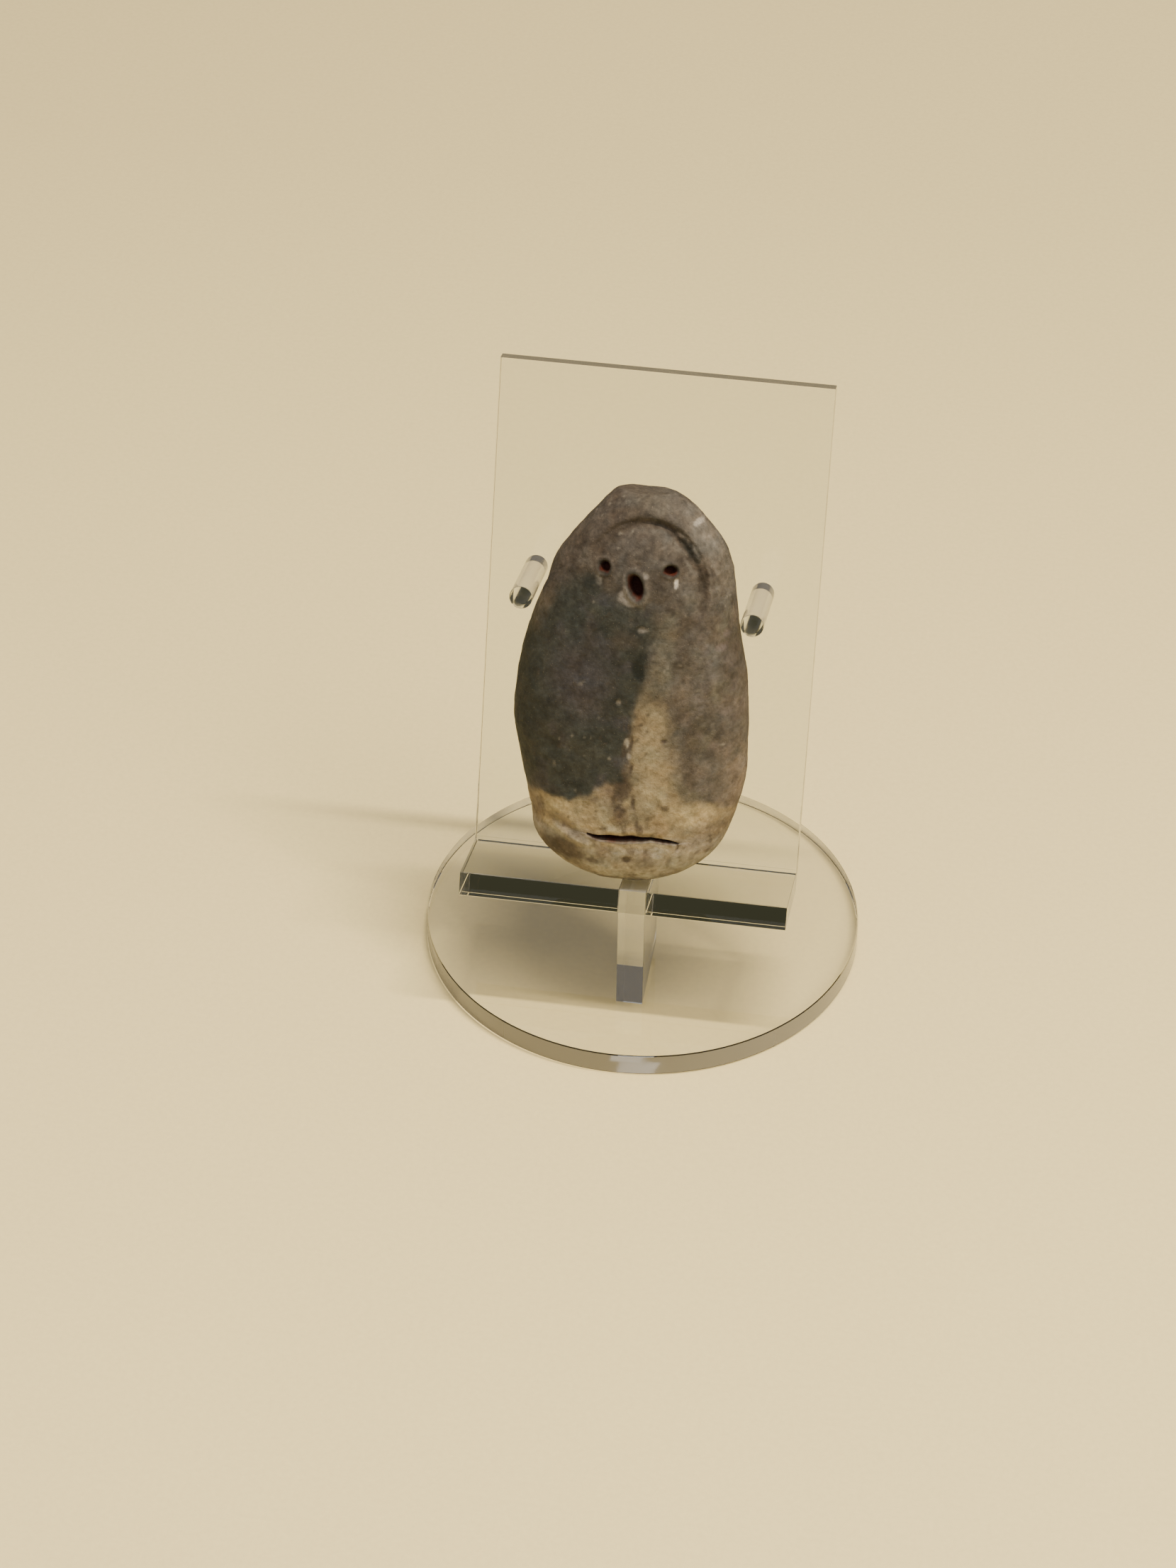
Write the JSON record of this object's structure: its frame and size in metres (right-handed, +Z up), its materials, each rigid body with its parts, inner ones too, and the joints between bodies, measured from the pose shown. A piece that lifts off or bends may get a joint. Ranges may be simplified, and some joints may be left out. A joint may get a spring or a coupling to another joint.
{
  "type": "dogu figurine",
  "caption": "Small hooded, egg-shaped clay-look figurine with a tiny pressed face, leaning on a clear stand with a tilted ledge, back plate and round foot.",
  "frame": {"origin": "middle of the round foot's underside, where the stand rests on a surface", "axes": "+Z up, +X to the viewer's right, +Y to the rear; the figurine faces -Y and leans back"},
  "size_m": [0.09, 0.09, 0.1257],
  "materials": {
    "painted_resin": "matte",
    "clear_acrylic": "polished"
  },
  "bodies": {
    "root": {"figurine": "painted_resin", "back_plate": "clear_acrylic", "ledge_left": "clear_acrylic", "ledge_right": "clear_acrylic", "peg_left": "clear_acrylic", "peg_right": "clear_acrylic", "upright": "clear_acrylic", "base_disc": "clear_acrylic"}
  },
  "joints": []
}
